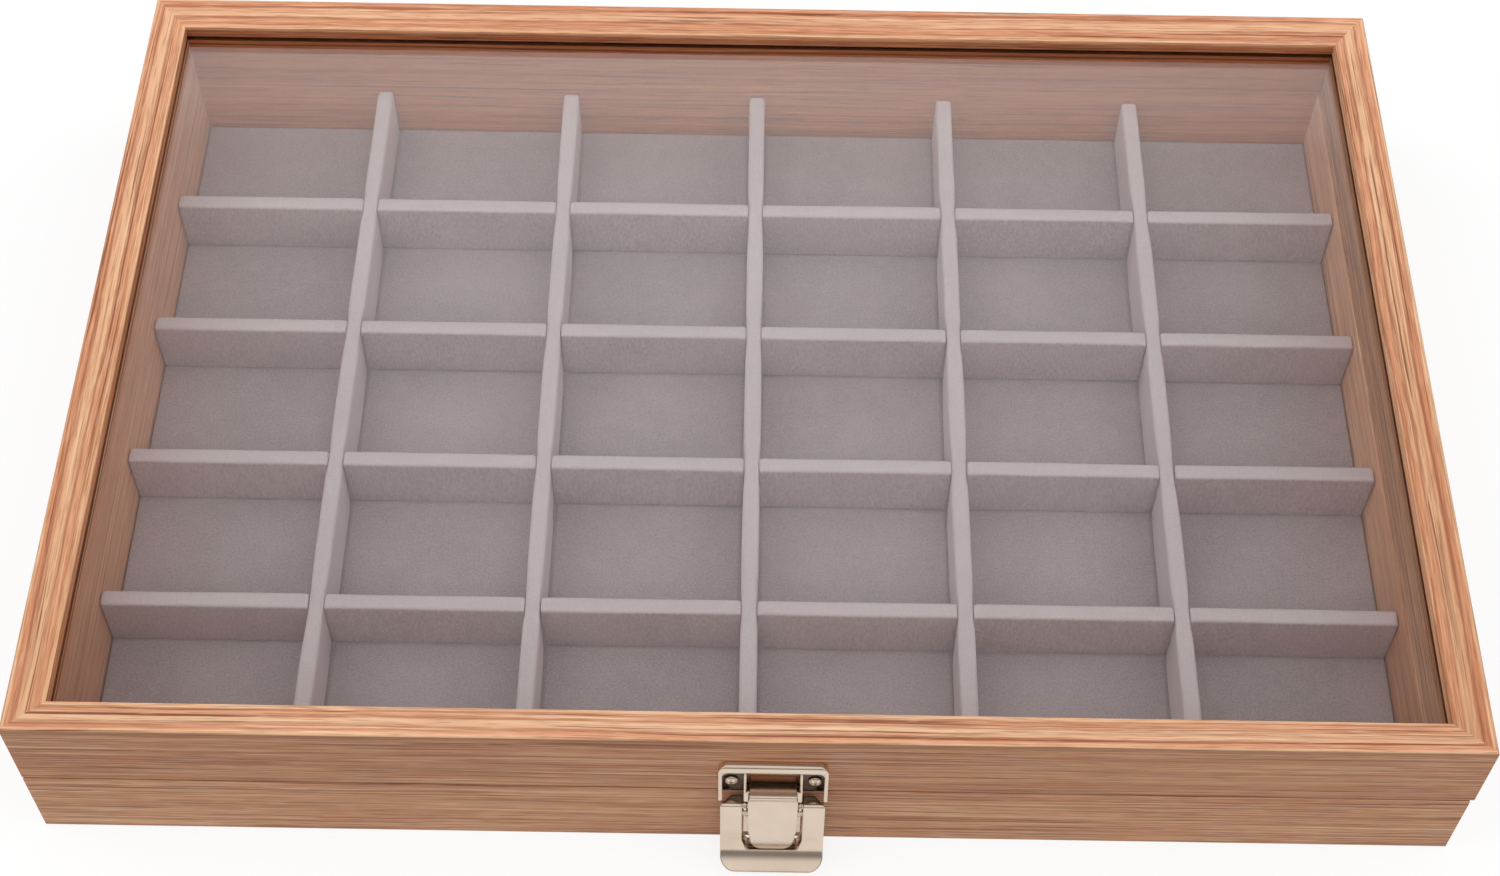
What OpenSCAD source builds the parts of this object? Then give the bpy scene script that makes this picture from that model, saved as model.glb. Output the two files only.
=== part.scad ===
// Glazed display case with a hinged lid, a grid of velvet dividers and a draw latch.
// The origin is the centre of the underside. +X is right, +Y is the hinge side, +Z is up.

/* [Case] */
// Width of the base, left to right
case_w = 350; // [300:5:420]
// Depth of the case, front to back
case_d = 240; // [200:5:300]
// Height of the base frame
base_h = 25; // [24:0.5:34]
// Height of the lid frame at its outer edge
lid_h = 24.7; // [23:0.1:34]
// Open seam between the base and the lid
seam_gap = 0.3; // [0.2:0.05:0.5]
// Thickness of the frame rails
rail_t = 9; // [8:0.5:12]
// How far the lid stands out past the base on the right
lid_overhang = 0.8; // [0:0.1:1.2]
// How far the top of the lid frame slopes down towards the glass
rail_drop = 2.9; // [1:0.1:4]
// Rounding of the outer top edge of the lid
top_edge_r = 0.8; // [0.4:0.1:1.5]
// Rounding of the edges along the seam and the underside
seam_edge_r = 0.4; // [0.2:0.05:0.8]

/* [Floor] */
// Thickness of the bottom board
board_t = 3; // [2:0.1:4]
// Width of the rabbet that holds the bottom board
rabbet_w = 4; // [2:0.5:6]
// Play of the bottom board in its rabbet
board_gap = 0.1; // [0.05:0.05:0.3]
// Thickness of the velvet floor pad
pad_t = 1.7; // [1:0.1:3]
// Play around the floor pad
pad_gap = 0.2; // [0.1:0.05:0.5]

/* [Glass] */
// Thickness of the glass pane
glass_t = 2; // [1.5:0.1:3]
// Depth of the glass below the inner top edge of the frame
glass_depth = 4; // [3:0.1:5]
// Depth of the groove that holds the glass
groove_w = 4; // [2.5:0.1:5]
// Play of the glass in its groove
glass_gap = 0.3; // [0.1:0.05:0.5]

/* [Dividers] */
// Compartments from left to right
columns = 6; // [4:1:8]
// Compartments from front to back
rows = 5; // [3:1:7]
// Thickness of a velvet strip
strip_t = 4.2; // [3:0.1:5]
// Height of a velvet strip
strip_h = 16.6; // [12:0.2:18]
// Rounding of the top edges of a strip
strip_r = 1.3; // [0.5:0.1:1.4]
// Play of one strip in the slot of another
slot_gap = 0.15; // [0.1:0.05:0.3]
// Gap between the end of a strip and the wall
end_gap = 0.3; // [0.2:0.05:0.5]

/* [Hinges] */
// Distance of each hinge from the middle
hinge_x = 105; // [70:1:130]
// Length of a hinge
hinge_l = 30; // [24:1:40]
// Height of a hinge leaf from the axis
leaf_h = 17; // [14:0.5:20]
// Thickness of a hinge leaf
leaf_t = 0.9; // [0.7:0.05:1.2]
// Outer radius of the hinge knuckles
knuckle_r = 1.9; // [1.7:0.1:2.5]
// Gap between the knuckles and the back of the case
knuckle_gap = 0.3; // [0.2:0.05:0.5]
// Radius of the hinge pin
hinge_pin_r = 0.9; // [0.6:0.05:1.1]
// Radial play of the hinge pin
pin_fit = 0.05; // [0.03:0.01:0.1]
// Gap between neighbouring knuckles
knuckle_play = 0.2; // [0.1:0.05:0.4]

/* [Latch] */
// Sideways place of the latch
latch_x = 6.4; // [-30:0.1:30]
// Thickness of the latch's sheet metal
sheet_t = 0.8; // [0.6:0.05:1]
// Width of the keeper on the lid
keeper_w = 26.2; // [25:0.1:30]
// Height of the keeper
keeper_h = 13.7; // [12.6:0.1:15]
// Height of the keeper's lower edge above the base
keeper_lift = 1.1; // [0.9:0.1:1.6]
// How far the keeper's rim stands out at its lower end
rim_low = 3.6; // [3:0.1:4]
// How far the keeper's rim stands out at its upper end
rim_high = 2; // [1.6:0.1:2.4]
// Thickness of the keeper's rim
rim_t = 0.9; // [0.6:0.1:1.2]
// Width of the lever
lever_w = 25.3; // [24:0.1:28]
// Width of the window in the lever
window_w = 14.6; // [14.3:0.1:16]
// Thickness of the lever
lever_t = 1; // [0.8:0.05:1.1]
// Width of the hook's face
hook_w = 11.9; // [10:0.1:12]
// Thickness of the hook
hook_t = 0.9; // [0.7:0.05:1]
// Clearance under the hook where it goes over the strike
hook_gap = 0.3; // [0.2:0.05:0.4]
// How far the hook reaches down behind the strike
hook_lip = 0.7; // [0.5:0.05:0.75]
// Radius of the lever's pin
lever_pin_r = 0.9; // [0.7:0.05:1]
// Radius of the hook's pin
hook_pin_r = 0.7; // [0.5:0.05:0.75]
// Distance between the two pins
crank_r = 4; // [3.6:0.1:4.2]
// How far the pins stand out from the front of the case
pin_out = 3.1; // [3:0.1:3.6]
// How far the hook's face stands out from the front of the case at its top
hook_out = 6.3; // [6:0.1:7]
// How much further the hook's face stands out at its lower end
hook_lean = 0.9; // [0:0.1:1.2]
// Height of the lever's top above the base
lever_rise = 0.3; // [0:0.05:0.4]

/* [Screws] */
// Radius of the screw shanks
shank_r = 0.8; // [0.6:0.05:1]
// Length of a screw below its head
shank_l = 6.5; // [4:0.5:7]
// Radius of the latch's screw heads
pan_r = 1.75; // [1.4:0.05:2]
// Height of the latch's screw heads
pan_h = 1.1; // [0.8:0.05:1.3]
// Radius of the hinge's screw heads
flat_head_r = 1.8; // [1.4:0.05:2.2]
// Play of a screw in its hole
screw_fit = 0.03; // [0.02:0.01:0.05]

/* [Hidden] */
$fn = 48;
wood = [0.80, 0.60, 0.46];
velvet = [0.60, 0.56, 0.57];
nickel = [0.80, 0.78, 0.74];
glass = [0.80, 0.88, 0.88, 0.35];
board = [0.62, 0.50, 0.38];

// Amount by which a cutting shape runs past what it cuts
past = 1;

// Inner space of the frames
inner_w = case_w - 2 * rail_t;
inner_d = case_d - 2 * rail_t;
floor_z = board_t + pad_t;

// Lid frame, which starts above the seam and is wider on the right
lid_z = base_h + seam_gap;
lid_w = case_w + lid_overhang;
lid_x = lid_overhang / 2;
slope = rail_drop / rail_t;
slope_l = sqrt(1 + slope * slope);
groove_top = lid_h - rail_drop - glass_depth + glass_gap;
groove_low = lid_h - rail_drop - glass_depth - glass_t;

// Hinge axis, behind the seam
axis_y = case_d / 2 + knuckle_r + knuckle_gap;
axis_z = base_h + seam_gap / 2;
knuckle_count = 5;
knuckle_pitch = hinge_l / knuckle_count;
leaf_corner_r = 1.5;
leaf_hole_x = hinge_l * 0.3;
leaf_hole_z = leaf_h * 0.62;
hinge_pin_past = 0.6;

// Latch places, measured outwards from the front face and up from the underside
lever_top = base_h + lever_rise;
ear_r = 2;
pivot_z = lever_top - ear_r;
crank_z = pivot_z - crank_r;
keeper_z = base_h + keeper_lift;
keeper_top = keeper_z + keeper_h;
keeper_corner_r = 2.5;
rim_round_r = 1.4;
rim_round_x = rim_high - rim_round_r;
keeper_ledge_h = 2.4;
hollow_top = keeper_top - keeper_ledge_h;
hook_rise = 6.9;
hook_top = keeper_z + hook_rise;
leg_low = hook_top - hook_t;
lip_back = 0.3;
lip_t = 0.7;
leg_inset = 0.35;
leg_w = hook_w - 2 * leg_inset;
strike_back = 3.4;
strike_lift = 0.8;
strike_top = leg_low - hook_gap;
strike_low = keeper_z + strike_lift;
strike_out = strike_back + sheet_t;
cheek_t = 0.6;
cheek_gap = 0.45;
cheek_in = hook_w / 2 + cheek_gap;

// Window in the back of the keeper, between its cheeks
keeper_window_edge = 0.8;
keeper_window_top = hollow_top - keeper_window_edge;
keeper_window_low = strike_low + 2;
keeper_window_w = 2 * cheek_in - 0.2;
pan_x = 10.05;
pan_rise = 5.9;
pan_z = keeper_z + pan_rise;

// Lever sheet: a straight face that leans out and ends in a flare
top_out = 4.7;
knee_out = 6;
knee_z = 10.5;
flare_r = 8.5;
bend_r = 0.9;
face_top = lever_top - bend_r;
lean = atan((knee_out - top_out) / (face_top - knee_z));
flare_x = knee_out + flare_r * cos(lean);
flare_z = knee_z + flare_r * sin(lean);
flare_end = 246;
flare_mid_r = flare_r + lever_t / 2;
tip_x = flare_x + flare_mid_r * cos(flare_end);
tip_z = flare_z + flare_mid_r * sin(flare_end);
arm_side_t = 0.9;
side_deep = 2.2;
lever_corner_r = 4.2;
lip_tilt = 50;

// Ears of the lever, whose outer corners are cut off behind
ear_back = 1.3;
ear_edge_r = 0.4;
ear_cut_w = 3.15;
ear_cut_in = 1;
ear_cut_out = 4.4;
window_low = 6.85;
window_corner = [2, 3.6];

// Hook face, with a tapered and rounded lower end
hook_low = 7.8;
hook_taper = 0.45;
hook_end_w = hook_w - 2 * hook_taper;
hook_corner = [3, 5.6];
hook_taper_z = 17;
bead_r = 0.8;
hook_face_top = leg_low - bead_r;
flange_t = 0.8;
flange_r = 1.6;
flange_inset = 0.25;
flange_x = hook_w / 2 - flange_inset - flange_t;

// Latch plate on the base, whose two ears carry the lever's pin
ear_gap = 0.3;
plate_w = window_w - 2 * ear_gap;
plate_low = 4;
plate_top = base_h - 1;
plate_corner_r = 2;
plate_ear_t = 0.8;
plate_ear_x = window_w / 2 - ear_gap - plate_ear_t;
plate_ear_r = 1.5;
plate_screw_x = 3.6;
plate_screw_z = 10;
tab_t = 0.8;
tab_r = 1.4;

function column_x(i) = -inner_w / 2 + i * inner_w / columns;
function row_y(j) = -inner_d / 2 + j * inner_d / rows;
// Outer face of the lever sheet at height z
function face_out(z) = knee_out + (top_out - knee_out) * (z - knee_z) / (face_top - knee_z);
// Points round a lower end from left to right, with elliptic corners of a width and a height
function round_end(half, low, corner, steps = 10) = concat(
    [for (i = [steps : -1 : 0]) let(a = 90 * i / steps)
        [corner[0] - half - corner[0] * sin(a), low + corner[1] * (1 - cos(a))]],
    [for (i = [0 : steps]) let(a = 90 * i / steps)
        [half - corner[0] + corner[0] * sin(a), low + corner[1] * (1 - cos(a))]]
);
// Point of the flare's curve, seen from the side
function flare_point(r, a) = [flare_x + r * cos(a), flare_z + r * sin(a)];
// Outer face of the hook at height z
function hook_face(z) = hook_out + hook_lean * (hook_face_top - z) / (hook_face_top - hook_low);

// What a rounding takes off a square corner at the origin
module corner_waste(r) {
    difference() {
        translate([-past, -past]) square(r + past);
        translate([r, r]) circle(r);
    }
}

// Rectangle centred on X, from Y = 0 up, with its two upper corners rounded
module arched_rect(w, h, r) {
    translate([-w / 2, 0]) square([w, h - r]);
    translate([-w / 2 + r, 0]) square([w - 2 * r, h]);
    for (s = [-1, 1]) translate([s * (w / 2 - r), h - r]) circle(r);
}

// Puts a rail, drawn along X with its outer face at Y = 0, on one side of a frame
module at_side(side, w, d) {
    if (side == "front") translate([0, -d / 2, 0]) children();
    if (side == "back") translate([0, d / 2, 0]) rotate(180) children();
    if (side == "left") translate([-w / 2, 0, 0]) rotate(-90) children();
    if (side == "right") translate([w / 2, 0, 0]) rotate(90) children();
}

// Rail with mitred ends, from a section drawn as depth and height
module mitred_rail(length, height) {
    difference() {
        rotate([90, 0, 90]) linear_extrude(length, center = true) children();
        for (s = [0, 1]) mirror([s, 0, 0])
            translate([length / 2, 0, -past]) linear_extrude(height + 2 * past)
                polygon([[past, -past], [3 * past, -past], [3 * past, rail_t + past], [-rail_t - past, rail_t + past]]);
    }
}

// Section of a base wall, with the rabbet for the bottom board
module base_section() {
    difference() {
        square([rail_t, base_h]);
        translate([rail_t - rabbet_w, -past]) square([rabbet_w + past, board_t + past]);
        corner_waste(seam_edge_r);
        translate([0, base_h]) mirror([0, 1]) corner_waste(seam_edge_r);
    }
}

// Section of a lid rail, with its sloping top and the groove for the glass
module lid_section() {
    r = top_edge_r;
    arc_z = lid_h - slope * r - r * slope_l;
    difference() {
        union() {
            polygon([
                [0, 0], [rail_t, 0], [rail_t, lid_h - rail_drop],
                [r + r * slope / slope_l, arc_z + r / slope_l], [r, arc_z], [0, arc_z]
            ]);
            translate([r, arc_z]) circle(r);
        }
        translate([rail_t - groove_w, groove_low]) square([groove_w + past, groove_top - groove_low]);
        corner_waste(seam_edge_r);
    }
}

// Hole for a screw, from a mouth at Z = 0 downwards
module screw_hole() {
    translate([0, 0, -shank_l - 0.5]) cylinder(h = shank_l + 0.5 + past, r = shank_r + screw_fit);
}

// Crossed recess of a screw head, from Z = 0 down
module cross_recess(span, deep) {
    for (a = [0, 90]) rotate(a) translate([-span / 2, -0.25, -deep]) cube([span, 0.5, deep + past]);
}

// Screw shank with a pointed end, from Z = 0 down
module shank() {
    tip_l = 2;
    translate([0, 0, tip_l - shank_l]) cylinder(h = shank_l - tip_l + 0.01, r = shank_r);
    translate([0, 0, -shank_l]) cylinder(h = tip_l, r1 = 0.1, r2 = shank_r);
}

// Screw with a domed head that sits on Z = 0
module pan_screw() {
    dome_r = 2.4;
    difference() {
        union() {
            intersection() {
                cylinder(h = pan_h, r = pan_r);
                translate([0, 0, pan_h - dome_r]) sphere(dome_r);
            }
            shank();
        }
        translate([0, 0, pan_h]) cross_recess(pan_r * 1.25, 0.6);
    }
}

// Cone of a flat screw head whose top is at Z = 0
module flat_cone(play) {
    translate([0, 0, -leaf_t]) cylinder(h = leaf_t, r1 = shank_r + play, r2 = flat_head_r + play);
}

module flat_screw() {
    difference() {
        union() {
            flat_cone(0);
            translate([0, 0, -leaf_t]) shank();
        }
        cross_recess(flat_head_r * 1.1, 0.4);
    }
}

// Places of the screws of one kind of leaf, with +Z pointing out of the back of the case
module at_hinge_screws(up) {
    for (x = [-hinge_x, hinge_x], h = [-leaf_hole_x, leaf_hole_x])
        translate([x + h, case_d / 2 + leaf_t, axis_z + up * leaf_hole_z]) rotate([-90, 0, 0]) children();
}

// Puts something drawn from the middle of the latch in its place
module at_latch() {
    translate([latch_x, -case_d / 2, 0]) children();
}

// Solid of width w from a side view of the latch, drawn outwards and up
module side_solid(w) {
    rotate([90, 0, -90]) linear_extrude(w, center = true) children();
}

// Two solids from one side view, at both sides of the middle, from x_in outwards
module side_pair(x_in, w) {
    for (s = [-1, 1]) translate([s * (x_in + w / 2), 0, 0]) side_solid(w) children();
}

// Solid between two distances from the front face, from a front view of the latch
module front_solid(from, to) {
    translate([0, -from, 0]) rotate([90, 0, 0]) linear_extrude(to - from) children();
}

module at_keeper_screws(out) {
    for (s = [-1, 1]) translate([s * pan_x, -out, pan_z]) rotate([90, 0, 0]) children();
}

module at_plate_screws(out) {
    for (s = [-1, 1]) translate([s * plate_screw_x, -out, plate_screw_z]) rotate([90, 0, 0]) children();
}

module cross_pin(z, r, length) {
    translate([0, -pin_out, z]) rotate([0, 90, 0]) cylinder(h = length, r = r, center = true);
}

module base_wall(side) {
    along = side == "front" || side == "back" ? case_w : case_d;
    color(wood) difference() {
        at_side(side, case_w, case_d) mitred_rail(along, base_h) base_section();
        if (side == "front") at_latch() at_plate_screws(0) screw_hole();
        if (side == "back") at_hinge_screws(-1) translate([0, 0, -leaf_t]) screw_hole();
    }
}

module bottom_board() {
    w = inner_w + 2 * rabbet_w - 2 * board_gap;
    d = inner_d + 2 * rabbet_w - 2 * board_gap;
    color(board) translate([-w / 2, -d / 2, 0]) cube([w, d, board_t]);
}

module floor_pad() {
    w = inner_w - 2 * pad_gap;
    d = inner_d - 2 * pad_gap;
    color(velvet) translate([-w / 2, -d / 2, board_t]) cube([w, d, pad_t]);
}

// Velvet strip along X, standing on Z = 0
module velvet_strip(length) {
    rotate([90, 0, 90]) linear_extrude(length, center = true) arched_rect(strip_t, strip_h, strip_r);
}

// Strips from front to back have their slots below
module divider_column(i) {
    slot_w = strip_t + 2 * slot_gap;
    color(velvet) translate([column_x(i), 0, floor_z]) difference() {
        rotate(90) velvet_strip(inner_d - 2 * end_gap);
        for (j = [1 : rows - 1]) translate([-strip_t, row_y(j) - slot_w / 2, -past])
            cube([2 * strip_t, slot_w, strip_h / 2 + slot_gap / 2 + past]);
    }
}

// Strips from left to right have their slots on top
module divider_row(j) {
    slot_w = strip_t + 2 * slot_gap;
    color(velvet) translate([0, row_y(j), floor_z]) difference() {
        velvet_strip(inner_w - 2 * end_gap);
        for (i = [1 : columns - 1]) translate([column_x(i) - slot_w / 2, -strip_t, strip_h / 2 - slot_gap / 2])
            cube([slot_w, 2 * strip_t, strip_h]);
    }
}

module lid_rail(side) {
    along = side == "front" || side == "back" ? lid_w : case_d;
    color(wood) difference() {
        translate([lid_x, 0, lid_z]) at_side(side, lid_w, case_d) mitred_rail(along, lid_h) lid_section();
        if (side == "front") at_latch() at_keeper_screws(0) screw_hole();
        if (side == "back") at_hinge_screws(1) translate([0, 0, -leaf_t]) screw_hole();
    }
}

module glass_pane() {
    w = lid_w - 2 * rail_t + 2 * groove_w - 2 * glass_gap;
    d = case_d - 2 * rail_t + 2 * groove_w - 2 * glass_gap;
    color(glass) translate([lid_x - w / 2, -d / 2, lid_z + groove_low]) cube([w, d, glass_t]);
}

// Leaf drawn from the hinge axis up, with the knuckles named in own
module hinge_leaf(own) {
    wall = knuckle_r + knuckle_gap;
    foot = knuckle_r + knuckle_play;
    difference() {
        union() {
            translate([0, leaf_t - wall, 0]) rotate([90, 0, 0]) linear_extrude(leaf_t)
                intersection() {
                    arched_rect(hinge_l, leaf_h, leaf_corner_r);
                    translate([-hinge_l, foot]) square([2 * hinge_l, leaf_h]);
                }
            for (k = own) translate([-hinge_l / 2 + k * knuckle_pitch + knuckle_play / 2, 0, 0]) {
                translate([0, -wall, 0]) cube([knuckle_pitch - knuckle_play, leaf_t, foot + 0.1]);
                rotate([0, 90, 0]) cylinder(h = knuckle_pitch - knuckle_play, r = knuckle_r);
            }
        }
        rotate([0, 90, 0]) cylinder(h = hinge_l + 2 * past, r = hinge_pin_r + pin_fit, center = true);
        for (h = [-leaf_hole_x, leaf_hole_x]) translate([h, leaf_t - wall, leaf_hole_z]) rotate([-90, 0, 0]) {
            flat_cone(screw_fit);
            screw_hole();
        }
    }
}

module hinge_base_leaf(x) {
    color(nickel) translate([x, axis_y, axis_z]) mirror([0, 0, 1]) hinge_leaf([0, 2, 4]);
}

module hinge_lid_leaf(x) {
    color(nickel) translate([x, axis_y, axis_z]) hinge_leaf([1, 3]);
}

module hinge_pin(x) {
    color(nickel) translate([x, axis_y, axis_z]) rotate([0, 90, 0])
        cylinder(h = hinge_l + 2 * hinge_pin_past, r = hinge_pin_r, center = true);
}

module hinge_base_screws() {
    color(nickel) at_hinge_screws(-1) flat_screw();
}

module hinge_lid_screws() {
    color(nickel) at_hinge_screws(1) flat_screw();
}

// Stamped tray on the lid, with a strike that the hook goes over
module keeper_plate() {
    tray_w = keeper_w - 2 * rim_t;
    color(nickel) at_latch() difference() {
        union() {
            difference() {
                intersection() {
                    side_solid(keeper_w + past) {
                        polygon([
                            [0, keeper_z], [rim_low, keeper_z], [rim_high, keeper_top - rim_round_r],
                            [rim_round_x, keeper_top - rim_round_r], [rim_round_x, keeper_top], [0, keeper_top]
                        ]);
                        translate([rim_round_x, keeper_top - rim_round_r]) circle(rim_round_r);
                    }
                    front_solid(0, rim_low + past) translate([0, keeper_z - past])
                        arched_rect(keeper_w, keeper_h + past, keeper_corner_r);
                }
                front_solid(sheet_t, rim_low + past) translate([0, keeper_z - past])
                    arched_rect(tray_w, hollow_top - keeper_z + past, keeper_corner_r - rim_t);
            }
            side_pair(cheek_in, cheek_t) polygon([
                [sheet_t / 2, hollow_top + 0.2], [rim_high - 0.4, hollow_top + 0.2], [strike_out, strike_top + 0.8],
                [strike_out, strike_low], [sheet_t / 2, strike_low - 0.4]
            ]);
            side_solid(2 * cheek_in + cheek_t) translate([strike_back, strike_low])
                square([sheet_t, strike_top - strike_low]);
        }
        front_solid(-past, sheet_t + 0.2) translate([-keeper_window_w / 2, keeper_window_low])
            square([keeper_window_w, keeper_window_top - keeper_window_low]);
        at_keeper_screws(sheet_t) screw_hole();
    }
}

module keeper_screws() {
    color(nickel) at_latch() at_keeper_screws(sheet_t) pan_screw();
}

// Plate on the base, with two ears that carry the lever's pin
module latch_base_plate() {
    color(nickel) at_latch() difference() {
        union() {
            front_solid(0, sheet_t) translate([0, plate_low])
                arched_rect(plate_w, plate_top - plate_low, plate_corner_r);
            side_pair(plate_ear_x, plate_ear_t) {
                translate([pin_out, pivot_z]) circle(plate_ear_r);
                translate([sheet_t / 2, pivot_z - plate_ear_r]) square([pin_out - sheet_t / 2, 2 * plate_ear_r]);
            }
        }
        cross_pin(pivot_z, lever_pin_r + screw_fit / 2, plate_w);
        at_plate_screws(sheet_t) screw_hole();
    }
}

module latch_base_screws() {
    color(nickel) at_latch() at_plate_screws(sheet_t) pan_screw();
}

// Side view of the lever's sheet: leaning face, flare and rounded lip
module lever_sheet() {
    steps = 20;
    tip_steps = 8;
    start = 180 + lean;
    turn = flare_end - start;
    polygon(concat(
        [[top_out - lever_t, face_top], [top_out, face_top]],
        [for (i = [0 : steps]) flare_point(flare_r, start + turn * i / steps)],
        [for (i = [1 : tip_steps - 1]) let(a = flare_end + 180 - 180 * i / tip_steps)
            [tip_x + lever_t / 2 * cos(a), tip_z + lever_t / 2 * sin(a)]],
        [for (i = [steps : -1 : 0]) flare_point(flare_r + lever_t, start + turn * i / steps)]
    ));
}

// Side view of the solid ears at the top of the lever's arms
module lever_ear() {
    intersection() {
        union() {
            translate([pin_out, pivot_z]) circle(ear_r);
            translate([pin_out, pivot_z - ear_r]) square([ear_r, 2 * ear_r]);
            translate([ear_back, pivot_z]) square([ear_r, lever_top - ear_edge_r - pivot_z]);
            translate([ear_back + ear_edge_r, pivot_z]) square([top_out - bend_r - ear_back - ear_edge_r, ear_r]);
            translate([ear_back + ear_edge_r, lever_top - ear_edge_r]) circle(ear_edge_r);
        }
        union() {
            polygon([
                [0, 0], [face_out(0) - lever_t / 2, 0], [top_out - lever_t / 2, face_top], [0, lever_top]
            ]);
            square([top_out - bend_r, lever_top]);
        }
    }
    translate([top_out - bend_r, face_top]) circle(bend_r);
}

// Side view of the walls along the outside of the lever's arms
module lever_side() {
    polygon([
        [top_out - side_deep / 2, pivot_z], [face_out(pivot_z) - lever_t / 2, pivot_z],
        [knee_out - lever_t / 2, knee_z], [knee_out - side_deep, knee_z + 2], [top_out - side_deep, pivot_z - 3]
    ]);
}

// Body from the lever's outline, which is seen square to the lip
module lever_outline() {
    low = tip_z * cos(lip_tilt) - tip_x * sin(lip_tilt) - lever_t / 2;
    rotate([90 - lip_tilt, 0, 0]) linear_extrude(6 * flare_r, center = true)
        translate([0, lever_top]) mirror([0, 1]) arched_rect(lever_w, lever_top - low, lever_corner_r);
}

// Front view of the window, open at the top
module lever_window() {
    polygon(concat(
        [[window_w / 2, lever_top + past], [-window_w / 2, lever_top + past]],
        round_end(window_w / 2, window_low, window_corner)
    ));
}

// Lever that pulls the hook down, with its finger lip at the lower end
module latch_lever() {
    arm_w = (lever_w - window_w) / 2;
    color(nickel) at_latch() difference() {
        union() {
            difference() {
                intersection() {
                    union() {
                        side_solid(lever_w + past) lever_sheet();
                        side_pair(window_w / 2, arm_w) lever_ear();
                        side_pair(lever_w / 2 - arm_side_t, arm_side_t) lever_side();
                    }
                    lever_outline();
                }
                front_solid(-past, 3 * flare_r) lever_window();
                for (s = [0, 1]) mirror([s, 0, 0]) translate([lever_w / 2, 0, pivot_z - 2 * ear_r])
                    linear_extrude(4 * ear_r)
                        polygon([
                            [0, -ear_cut_out], [-ear_cut_w, -ear_cut_in], [-ear_cut_w, past], [past, past],
                            [past, -ear_cut_out]
                        ]);
            }
            side_pair(window_w / 2, tab_t) {
                translate([pin_out, crank_z]) circle(tab_r);
                translate([pin_out, crank_z - tab_r])
                    square([face_out(crank_z) - lever_t / 2 - pin_out, 2 * tab_r]);
            }
        }
        cross_pin(pivot_z, lever_pin_r + pin_fit, lever_w + 2 * past);
        cross_pin(crank_z, hook_pin_r + screw_fit / 2, window_w + 2 * tab_t + 0.2);
    }
}

module lever_pin() {
    color(nickel) at_latch() cross_pin(pivot_z, lever_pin_r, lever_w - 0.6);
}

// Front view of the hook's face, tapered and rounded at its lower end
module hook_outline() {
    polygon(concat(
        [[hook_w / 2, hook_taper_z], [hook_w / 2, hook_face_top], [-hook_w / 2, hook_face_top],
        [-hook_w / 2, hook_taper_z]],
        round_end(hook_end_w / 2, hook_low, hook_corner)
    ));
}

// Link that goes over the strike and hangs on the lever
module hook_link() {
    color(nickel) at_latch() difference() {
        union() {
            intersection() {
                side_solid(hook_w + past) polygon([
                    [hook_out, hook_face_top], [hook_out + hook_lean, hook_low],
                    [hook_out + hook_lean - hook_t, hook_low], [hook_out - hook_t, hook_face_top]
                ]);
                front_solid(0, 2 * hook_out) hook_outline();
            }
            side_solid(leg_w) {
                translate([lip_back, leg_low]) square([hook_out - bead_r - lip_back, hook_t]);
                translate([lip_back, leg_low - hook_lip]) square([lip_t, hook_lip + hook_t / 2]);
                translate([hook_out - bead_r, hook_top - bead_r]) circle(bead_r);
                translate([hook_out - hook_t, hook_face_top - 0.5]) square([hook_t * 0.6, 1.6]);
            }
            side_pair(flange_x, flange_t) {
                translate([pin_out, crank_z]) circle(flange_r);
                translate([pin_out, crank_z - flange_r])
                    square([hook_face(crank_z) - hook_t / 2 - pin_out, 2 * flange_r]);
            }
        }
        cross_pin(crank_z, hook_pin_r + pin_fit, hook_w);
    }
}

module hook_pin() {
    color(nickel) at_latch() cross_pin(crank_z, hook_pin_r, window_w + 2 * tab_t);
}

base_wall("front");  // base_front_wall
base_wall("back");  // base_back_wall
base_wall("left");  // base_left_wall
base_wall("right");  // base_right_wall
bottom_board();
floor_pad();
divider_column(1);  // divider_column_1
divider_column(2);  // divider_column_2
divider_column(3);  // divider_column_3
divider_column(4);  // divider_column_4
divider_column(5);  // divider_column_5
divider_row(1);  // divider_row_1
divider_row(2);  // divider_row_2
divider_row(3);  // divider_row_3
divider_row(4);  // divider_row_4
lid_rail("front");  // lid_front_rail
lid_rail("back");  // lid_back_rail
lid_rail("left");  // lid_left_rail
lid_rail("right");  // lid_right_rail
glass_pane();
hinge_base_leaf(-hinge_x);  // hinge_base_leaf_left
hinge_base_leaf(hinge_x);  // hinge_base_leaf_right
hinge_lid_leaf(-hinge_x);  // hinge_lid_leaf_left
hinge_lid_leaf(hinge_x);  // hinge_lid_leaf_right
hinge_pin(-hinge_x);  // hinge_pin_left
hinge_pin(hinge_x);  // hinge_pin_right
hinge_base_screws();
hinge_lid_screws();
keeper_plate();
keeper_screws();
latch_base_plate();
latch_base_screws();
latch_lever();
lever_pin();
hook_link();
hook_pin();
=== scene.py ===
import math

import bmesh
import bpy
from mathutils import Matrix, Vector, noise


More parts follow.
